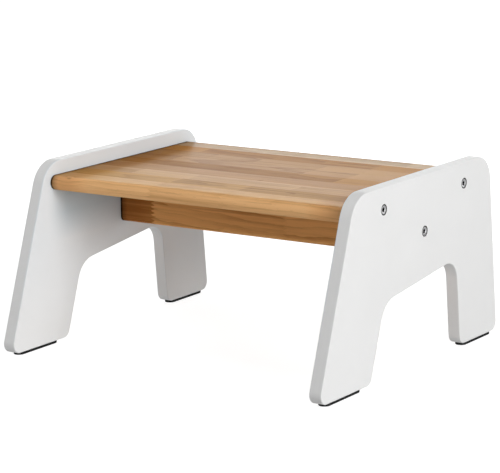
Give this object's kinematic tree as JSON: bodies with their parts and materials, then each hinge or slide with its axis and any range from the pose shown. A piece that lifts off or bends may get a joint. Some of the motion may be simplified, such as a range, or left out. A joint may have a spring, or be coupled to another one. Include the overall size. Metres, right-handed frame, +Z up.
{
  "type": "step stool",
  "caption": "Low child's step stool with two white arched side panels, an edge-glued pine step set between them and one rail under it.",
  "frame": {"origin": "on the floor, under the middle of the stool's box", "axes": "+X to the stool's right, +Y to its back, away from the slanted front legs, +Z up"},
  "size_m": [0.4, 0.3559, 0.2],
  "materials": {
    "white_paint": "satin white paint on wood board, edges eased",
    "pine_step": "semi-gloss clear lacquer on edge-glued, finger-jointed staves",
    "pine_rail": "semi-gloss clear lacquer on finger-jointed pine",
    "zinc_screw": "bright zinc plate",
    "beech_dowel": "bare turned wood",
    "black_pad": "matt black"
  },
  "bodies": {
    "root": {"left_side_panel": "white_paint", "right_side_panel": "white_paint", "step_stave_1": "pine_step", "step_stave_2": "pine_step", "step_stave_3": "pine_step", "step_stave_4": "pine_step", "step_stave_5": "pine_step", "step_stave_6": "pine_step", "step_stave_7": "pine_step", "step_stave_8": "pine_step", "step_stave_9": "pine_step", "stretcher_rail": "pine_rail", "step_screw_front_left": "zinc_screw", "step_screw_front_right": "zinc_screw", "step_screw_rear_left": "zinc_screw", "step_screw_rear_right": "zinc_screw", "rail_screw_left": "zinc_screw", "rail_screw_right": "zinc_screw", "rail_dowel_left": "beech_dowel", "rail_dowel_right": "beech_dowel", "front_pad_left": "black_pad", "front_pad_right": "black_pad", "rear_pad_left": "black_pad", "rear_pad_right": "black_pad"}
  },
  "joints": []
}
